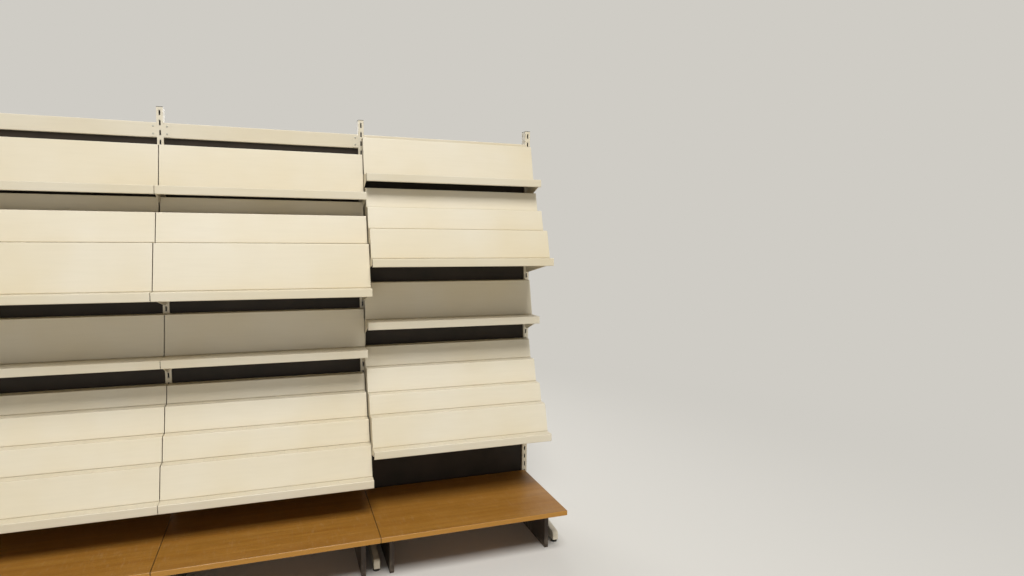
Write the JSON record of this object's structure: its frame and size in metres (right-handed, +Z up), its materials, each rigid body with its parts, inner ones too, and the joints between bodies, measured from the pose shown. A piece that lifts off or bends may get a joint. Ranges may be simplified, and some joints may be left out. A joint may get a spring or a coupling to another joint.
{
  "type": "shop wall shelving with bench",
  "caption": "Wall shelving of slotted steel uprights, hooked brackets and stepped display trays, with a low wood-topped bench along its foot.",
  "frame": {"origin": "middle of the footprint, on the floor", "axes": "+X along the run to the right as seen by someone facing it, +Y back towards the wall, +Z up"},
  "size_m": [3.036, 0.715, 2.37],
  "materials": {
    "white_steel": "cream-white powder coat, slightly yellowed",
    "dark_board": "dark brown laminated board",
    "bench_wood": "warm beech-look laminate, matt",
    "dark_plastic": "dark grey moulded plastic",
    "zinc_steel": "dull zinc-plated steel, for the screws and lock nuts"
  },
  "bodies": {
    "root": {"upright_1": "white_steel", "upright_2": "white_steel", "upright_3": "white_steel", "upright_4": "white_steel", "upright_caps": "dark_plastic", "top_rails": "white_steel", "bottom_rails": "white_steel", "base_feet": "white_steel", "levelling_feet": "dark_plastic", "back_board_1": "dark_board", "back_board_2": "dark_board", "back_board_3": "dark_board", "bay_1_brackets": "white_steel", "bay_2_brackets": "white_steel", "bay_3_brackets": "white_steel", "bay_1_base_tray": "white_steel", "bay_1_low_tray": "white_steel", "bay_1_eye_tray": "white_steel", "bay_1_top_tray": "white_steel", "bay_2_base_tray": "white_steel", "bay_2_low_tray": "white_steel", "bay_2_eye_tray": "white_steel", "bay_2_top_tray": "white_steel", "bay_3_base_tray": "white_steel", "bay_3_low_tray": "white_steel", "bay_3_eye_tray": "white_steel", "bay_3_top_tray": "white_steel", "bay_1_upstands": "white_steel", "bay_2_upstands": "white_steel", "bay_3_upstands": "white_steel", "bay_1_base_steps": "white_steel", "bay_2_base_steps": "white_steel", "bay_3_base_steps": "white_steel", "bay_1_eye_steps": "white_steel", "bay_2_eye_steps": "white_steel", "bay_3_eye_steps": "white_steel", "bay_1_step_ends": "white_steel", "bay_2_step_ends": "white_steel", "bay_3_step_ends": "white_steel", "bench_top_1": "bench_wood", "bench_top_2": "bench_wood", "bench_top_3": "bench_wood", "bench_gables": "dark_board", "bench_rails": "dark_board"}
  },
  "joints": []
}
